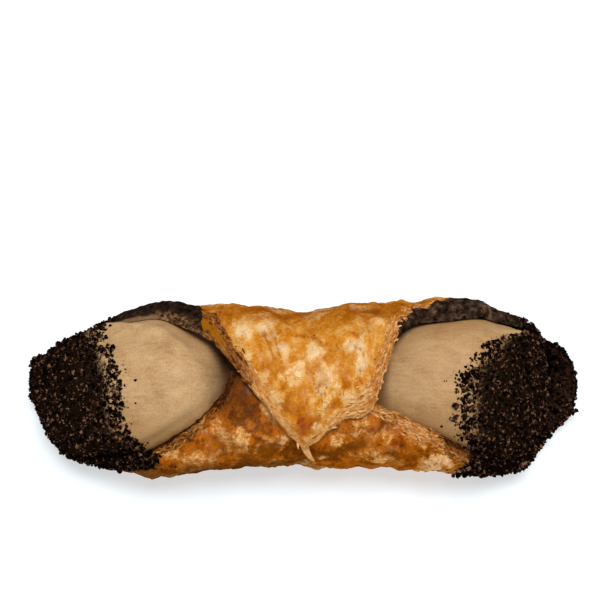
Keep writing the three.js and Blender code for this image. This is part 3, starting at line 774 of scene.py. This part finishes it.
def grain_mesh(name, shape, centres, turns, sizes, random):
    """One mesh of many grains: the shape's corners, chipped at random, turned and put in place."""
    bpy.ops.object.select_all(action="DESELECT")
    bpy.ops.mesh.primitive_ico_sphere_add(subdivisions=1, radius=1)
    grain = bpy.context.object
    settle(grain.data)
    corners = coordinates(grain.data) * shape
    faces = triangles(grain.data)
    bpy.data.objects.remove(grain)
    count = len(centres)
    chipped = corners * random.uniform(0.6, 1.3, (count, len(corners), 1)) * sizes[:, None, None]
    points = lay_down(np.einsum("nij,nkj->nki", turns, chipped) + centres[:, None])
    points = np.clip(points, cad_low, cad_high)
    mesh = bpy.data.meshes.new(name)
    all_faces = (faces[None] + np.arange(count)[:, None, None] * len(corners)).reshape(-1, 3)
    mesh.from_pydata((points.reshape(-1, 3) * MM).tolist(), [], all_faces.tolist())
    mark(mesh, "tone", np.repeat(random.random(count), len(corners)))
    grains = bpy.data.objects.new(name, mesh)
    bpy.context.collection.objects.link(grains)
    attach(grains, "root")
    return grains


sheet_faces = triangles(sheet.data)
uncoated = (1 - np.maximum(marks["coated"], marks["dipped"])) * (1 - marks["inside"])
likely = uncoated * marks["rim"] * (1 - marks["hollow"]) * (1 - 0.9 * marks["pressed"])
random = np.random.default_rng(21)
at, out, face = spread(rolled, sheet_faces, likely[sheet_faces].mean(axis=1) ** 1.5, LEAVES, random)
# A strand runs along the rim of the sheet, frays out a little, and lies flat: that is, its thin way
# points away from the roll's axis.
nudge = 0.004 * np.where(np.minimum(p, 1 - p) < np.minimum(q, 1 - q), [[0], [1]], [[1], [0]])
rim_ways = sheet_surface(np.clip(p + nudge[0], 0, 1), np.clip(q + nudge[1], 0, 1), False)[0] - inner
lengthways = unit(rim_ways[sheet_faces[face]].mean(axis=1) + 1e-6) * random.choice([-1, 1], (LEAVES, 1))
lengthways = unit(lengthways + 0.3 * random.normal(size=at.shape))
flat_out = unit(at * (0, 1, 1) + 5 * random.normal(size=at.shape))
flat_out = unit(flat_out - lengthways * np.sum(lengthways * flat_out, axis=1, keepdims=True))
turns = np.stack([lengthways, np.cross(flat_out, lengthways), flat_out], axis=2)
sizes = LEAF * random.uniform(0.25, 1.5, LEAVES)
leaves = grain_mesh("pastry_leaves", LEAF_SHAPE, at + 0.03 * out, turns, sizes, random)
# Leaves on charred edges, and in the painted shade under the lapped corner, come out darker.
fair = (marks["fair"] - marks["charred_and_shaded"])[sheet_faces[face]].mean(axis=1)
mark(leaves.data, "fair", np.repeat(fair, len(leaves.data.vertices) // LEAVES))
crisped = Finish("crisp_leaf")
leafy = crisped.painted("tone") * 0.5 + crisped.painted("fair") * 0.7
leafy = leafy + (crisped.noise(1.2, detail=2) - 0.5) * 0.6
crisped.wear(
    Base_Color=crisped.ramp(
        leafy, (0, colour(70, 34, 10)), (0.25, colour(126, 68, 22)), (0.5, colour(190, 118, 46)),
        (0.75, colour(228, 158, 86)), (1, colour(249, 196, 134))),
    Roughness=0.7)
crisped.surface.inputs["Specular IOR Level"].default_value = 0.0
leaves.data.materials.append(crisped.material)


# One longer leaf hangs from the tip of the back corner.
bpy.ops.object.select_all(action="DESELECT")
bpy.ops.mesh.primitive_grid_add(x_subdivisions=24, y_subdivisions=6, size=1)
tail = bpy.context.object
tail.name = "tip_leaf"
flat = coordinates(tail.data)
down, aside = flat[:, [0]] + 0.5, flat[:, [1]]
tip = rolled[np.argmax(p + q - 3 * np.abs(through - 0.6))]
start, bend, end = tip + (0.1, 1.4, 0.1), tip + (1.0, -1.8, -0.4), np.array([2.6, -17.5, 12.2])
hung = (1 - down) ** 2 * start + 2 * down * (1 - down) * bend + down ** 2 * end
hung += aside * (1.9 - 1.2 * down ** 1.5) * np.array([1, 0.25, -0.2])
hung[:, 2] += 0.3 * lumps(down[:, 0] * 5, aside[:, 0] * 4, 5) - 1.2 * aside[:, 0] ** 2
reshape(tail.data, lay_down(hung) * MM)
bpy.ops.object.modifier_add(type="SOLIDIFY")
tail.modifiers[-1].thickness = 0.3 * MM
bpy.ops.object.modifier_apply(modifier=tail.modifiers[-1].name)
mark(tail.data, "fair", np.full(len(tail.data.vertices), 0.8))
mark(tail.data, "tone", np.full(len(tail.data.vertices), 0.6))
bpy.ops.object.shade_smooth()
tail.data.materials.clear()
tail.data.materials.append(crisped.material)
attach(tail, "root")


# ---- Cream: the filling -------------------------------------------------------------------------
# Coffee-coloured cream, piped through the roll from both ends and wiped smooth where it swells out
# of the mouths. The wiping leaves fine streaks along the roll.

CREAM_ENDS = (-70, 64)
CREAM_CAP = 50  # where the cream begins to round off towards its ends
CAP_BLUNT = 3
MOUTH_SWELL = (1.7, 0.5)  # how far it stands out of the left mouth and the right one
CREAM_RADIUS = 18  # turns an angle round the cream into a length
CREAM_RINGS, CREAM_SEGMENTS = 300, 256


def cream_surface(x, phi):
    """A point on the cream, and how far from the pastry's rim it is, in radians."""
    end = np.where(x < 0, -CREAM_ENDS[0], CREAM_ENDS[1])
    past = np.clip((np.abs(x) - CREAM_CAP) / (end - CREAM_CAP), 0, 1)
    cap = np.sqrt(1 - past ** CAP_BLUNT)
    tip = np.where(x < 0, cream_top(CREAM_ENDS[0]), cream_top(CREAM_ENDS[1]))
    turn = np.arctan2(np.sin(phi), np.cos(phi))
    room = np.minimum(math.pi - reach(x, 1) - turn, turn + math.pi - reach(x, -1))
    mouth = smooth(room, math.radians(7), math.radians(20))
    swell = np.where(x < 0, *MOUTH_SWELL) * mouth * smooth(np.abs(x), 22, 30) * cap
    bottom = -mixed(tip, -depth(x), cap)

    def place(h):
        return section(x, phi, h, cream_top(x), bottom, tip * (1 - cap), cap)

    bare = place(swell)
    streaks = 0.18 * lumps(x / 11, turn * 3, 9) + 0.07 * lumps(x / 9, turn * 17, 12)
    streaks = streaks + 0.035 * lumps(x / 5, turn * 42, 14)
    return place(swell + streaks * mouth), room


bpy.ops.object.select_all(action="DESELECT")
bpy.ops.mesh.primitive_uv_sphere_add(segments=CREAM_SEGMENTS, ring_count=CREAM_RINGS, radius=1)
cream = bpy.context.object
cream.name = "coffee_cream"
settle(cream.data)
ball = coordinates(cream.data)
polar = np.arccos(np.clip(ball[:, 2], -1, 1))
share = mixed(1 - 2 * polar / math.pi, ball[:, 2], 0.55)
phi = np.arctan2(ball[:, 1], ball[:, 0])
x = np.mean(CREAM_ENDS) + np.ptp(CREAM_ENDS) / 2 * share
filled, room = cream_surface(x, phi)
reshape(cream.data, lay_down(filled) * MM)
mark(cream.data, "shade", 1 - smooth(room, 0.02, 0.35))
mark(cream.data, "under", past_dip(filled))
# Painted shade on the cream where it runs in under the lapped corners.
mark(cream.data, "shade_under_flap", smooth(-np.abs(x), -22.5, -19.2))
# Painted shade: the cream is darker towards its front, lower side.
mark(cream.data, "low", smooth(-filled[:, 1], -1, 14))
mark(cream.data, "along", x)
mark(cream.data, "round", phi * CREAM_RADIUS)
bpy.ops.object.shade_smooth()

piped = Finish("coffee_cream")
along, around = piped.painted("along") * MM, piped.painted("round") * MM
streaked = piped.node("CombineXYZ", {0: along * 0.2, 1: around, 2: 0.0})
streaks = piped.noise(0.7, detail=4, roughness=0.65, distortion=0.3, place=streaked)
clouds = piped.noise(7, detail=3, distortion=0.6)
pores = piped.noise(0.5, detail=2)
custard = piped.ramp(
    clouds * 0.4 + streaks * 0.3 + pores * 0.3, (0.38, colour(190, 146, 98)), (0.5, colour(214, 172, 122)),
    (0.62, colour(230, 190, 141)))
custard = piped.mix(piped.painted("shade") * 0.4, custard, colour(158, 110, 62))
# Painted shade on the cream's front, lower side.
custard = piped.mix(piped.painted("low") * 0.65, custard, colour(172, 122, 64))
custard = piped.mix(piped.painted("along").over(15, 30) * 0.25, custard, colour(182, 132, 78))
# Painted shade where the cream runs in under the lapped corner.
custard = piped.mix(piped.painted("shade_under_flap") * 0.8, custard, colour(110, 66, 32))
under = piped.painted("under")
dust = piped.noise(0.7, detail=2, distortion=0.3)
dusted = (dust + under * 0.022).over(0.6, 0.66) * under.over(-9, -2)
custard = piped.mix(dusted * 0.75, custard, colour(70, 42, 24))
custard = piped.mix((under + (pores - 0.5) * 6).over(2, 6) * 0.97, custard, colour(20, 11, 6))
piped.wear(
    Base_Color=custard,
    Roughness=0.7,
    Coat_Weight=0.2 * (1 - under.over(-1, 3)),
    Normal=piped.bump(streaks * 0.5 + pores * 0.5, 0.22))
piped.surface.inputs["Subsurface Weight"].default_value = 0.12
piped.surface.inputs["Subsurface Radius"].default_value = (1.0, 0.6, 0.35)
piped.surface.inputs["Subsurface Scale"].default_value = 0.0015
piped.surface.inputs["Specular IOR Level"].default_value = 0.0
piped.surface.inputs["Coat Roughness"].default_value = 0.45
cream.data.materials.clear()
cream.data.materials.append(piped.material)
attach(cream, "root")
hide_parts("cream")


# ---- Crumbs on the ends -------------------------------------------------------------------------
# Dark chocolate biscuit, crushed to dust and to pieces of 1 to 2 mm. Both filled ends were pressed
# into it, so it sticks to cream and pastry alike and thins out raggedly where the dip ended.

KINDS = {"coarse": (0.68, 3200, 60), "fine": (0.4, 8000, 40)}  # half-width, how many on each end, seed
CRUMB_SHAPE = (1, 0.85, 0.75)
BURIED = 0.8  # a place with less room than this in front of it takes no crumb
# The crevice where the cream ends short of the pastry's right end, whose crumbs are painted near-black as its
# shadow: x and y, and half its width.
CREVICE, CREVICE_BACK, CREVICE_HALF = 65.6, 2, 1.9


def any_turns(count, random):
    """Turning matrices, as likely one way as another."""
    w, a, b, c = random.normal(size=(4, count))
    w, a, b, c = np.array([w, a, b, c]) / np.sqrt(w * w + a * a + b * b + c * c)
    return np.stack([
        1 - 2 * (b * b + c * c), 2 * (a * b - w * c), 2 * (a * c + w * b),
        2 * (a * b + w * c), 1 - 2 * (a * a + c * c), 2 * (b * c - w * a),
        2 * (a * c - w * b), 2 * (b * c + w * a), 1 - 2 * (a * a + b * b)], axis=1).reshape(-1, 3, 3)


coats = [(rolled, sheet_faces), (filled, triangles(cream.data))]
trees = [BVHTree.FromPolygons(places.tolist(), faces.tolist()) for places, faces in coats]


def open_places(side, count, random):
    """Places where crumbs stuck: past the dip's ragged edge, and not where cream lies against pastry."""
    found, outs, ranks = [], [], []
    for (places, faces), other in zip(coats, reversed(trees)):
        middle = places[faces].mean(axis=1)
        past = past_dip(middle)
        thick = (1 + 2 * np.exp(-((past - 1) / 4) ** 2)) * smooth(past, -8, -6) * (middle[:, 0] * side > 0)
        at, out, _ = spread(places, faces, thick, 3 * count, random)
        ragged = 1.5 * lumps(*(at.T / 3.4)) + 1.8 * lumps(*(at.T / 1.2)) + 0.6 * lumps(*(at.T / 0.6))
        past = past_dip(at)
        gaps = smooth(ridges(at[:, 0] / 1.5, at[:, 1] / 1.5, 90), 0.6, 0.8) * (1 - smooth(past, 4, 7))
        past = past + ragged
        chance = 0.03 * smooth(past, -6, -1.5) + 0.97 * smooth(past, -0.5, 0.7)
        lip = smooth(at[:, 0], 65, 67) * (np.sum(at * out * (0, 1, 1), axis=1) < 0)
        stuck = random.random(len(at)) < chance * (1 - 0.9 * gaps) * (1 - 0.5 * lip)
        rank = random.random(len(at))[stuck]
        at, out = at[stuck], out[stuck]
        free = [
            other.ray_cast(Vector(a + 0.02 * o), Vector(o), BURIED)[0] is None for a, o in zip(at, out)]
        found.append(at[free])
        outs.append(out[free])
        ranks.append(rank[free])
    chosen = np.argsort(np.concatenate(ranks))[:count]
    return np.concatenate(found)[chosen], np.concatenate(outs)[chosen]


crumbly = Finish("biscuit_crumbs")
grit = crumbly.noise(0.35, detail=3)
facet = crumbly.noise(1.0, detail=2, roughness=0.6)
biscuit = crumbly.ramp(
    facet * 0.8 + crumbly.painted("tone") * 0.2 + (grit - 0.5) * 0.3, (0.38, colour(7, 5, 4)),
    (0.5, colour(24, 14, 11)), (0.59, colour(60, 38, 28)), (0.68, colour(140, 102, 78)))
# Painted shadow: crumbs in the crevice are near-black.
biscuit = crumbly.mix(crumbly.painted("deep"), biscuit, colour(5, 3, 2))
crumbly.wear(Base_Color=biscuit, Roughness=0.8, Normal=crumbly.bump(grit, 0.1))
crumbly.surface.inputs["Specular IOR Level"].default_value = 0.0
for end, side, seed in (("left", -1, 11), ("right", 1, 12)):
    for kind, (half, count, kind_seed) in KINDS.items():
        random = np.random.default_rng(seed + kind_seed)
        at, out = open_places(side, count, random)
        sizes = half * random.uniform(0.5, 1.35, len(at))
        lifted = at + out * (random.uniform(-0.4, 0.8, len(at)) * sizes)[:, None]
        crumbs = grain_mesh(
            f"crumbs_{kind}_{end}", CRUMB_SHAPE, lifted, any_turns(len(at), random), sizes, random)
        # Painted shadow: crumbs in the crevice are marked to be painted near-black.
        deep = np.exp(-((lifted[:, 0] - CREVICE) / CREVICE_HALF) ** 4)
        deep = deep * (1 - smooth(np.abs(lifted[:, 1] - CREVICE_BACK), 7.5, 9.5))
        mark(crumbs.data, "deep", np.repeat(0.97 * deep, len(crumbs.data.vertices) // len(at)))
        crumbs.data.materials.append(crumbly.material)


# ---- Stage --------------------------------------------------------------------------------------
# A white table that glows a little, one large soft light above it and to its front, and the camera.

TABLE_GLOW = 0.58
SKY = 0.34
KEY = 0.85 * math.pi
KEY_WIDTH = 26  # degrees across

bpy.ops.object.select_all(action="DESELECT")
bpy.ops.mesh.primitive_plane_add(size=60)
table = bpy.context.object
table.name = "table"
white = Finish("white_table")
white.wear(Base_Color=(0.43, 0.48, 0.51, 1), Roughness=0.9)
white.surface.inputs["Specular IOR Level"].default_value = 0.0
white.surface.inputs["Emission Color"].default_value = (0.97, 0.99, 1, 1)
white.surface.inputs["Emission Strength"].default_value = TABLE_GLOW
table.data.materials.append(white.material)

world = bpy.data.worlds.new("studio")
bpy.context.scene.world = world
world.use_nodes = True
world.node_tree.nodes["Background"].inputs["Color"].default_value = (1, 1, 1, 1)
world.node_tree.nodes["Background"].inputs["Strength"].default_value = SKY

key = bpy.data.lights.new("overhead", "SUN")
key.energy, key.angle = KEY, math.radians(KEY_WIDTH)
lamp = bpy.data.objects.new("overhead", key)
bpy.context.collection.objects.link(lamp)
lamp.rotation_euler = Vector((-0.1, 0.17, -1)).to_track_quat("-Z", "Y").to_euler()

# The camera looks down on the roll along its seam; the roll lies a little below the picture's middle.
PICTURE = 600
LENS, SENSOR = 100, 36
FOCAL = PICTURE * LENS / SENSOR
DISTANCE = 0.427
ROLL_RIGHT, ROLL_DOWN = 3, 88  # pixels from the picture's middle to the roll's axis
elevation = math.radians(90 - SEAM_TURN)
ahead = Vector((0, math.cos(elevation), -math.sin(elevation)))
upward = Vector((0, math.sin(elevation), math.cos(elevation)))
rightward = Vector((1, 0, 0))
axis_middle = Vector((0, -AXIS_FRONT, AXIS_HEIGHT)) * MM
eye = axis_middle - ahead * DISTANCE
eye += (upward * ROLL_DOWN - rightward * ROLL_RIGHT) * (DISTANCE / FOCAL)
lens = bpy.data.cameras.new("camera")
lens.lens, lens.sensor_width = LENS, SENSOR
camera = bpy.data.objects.new("camera", lens)
bpy.context.collection.objects.link(camera)
camera.matrix_world = Matrix.Translation(eye) @ Matrix((rightward, upward, -ahead)).transposed().to_4x4()
bpy.context.scene.camera = camera
bpy.context.scene.view_settings.view_transform = "Standard"
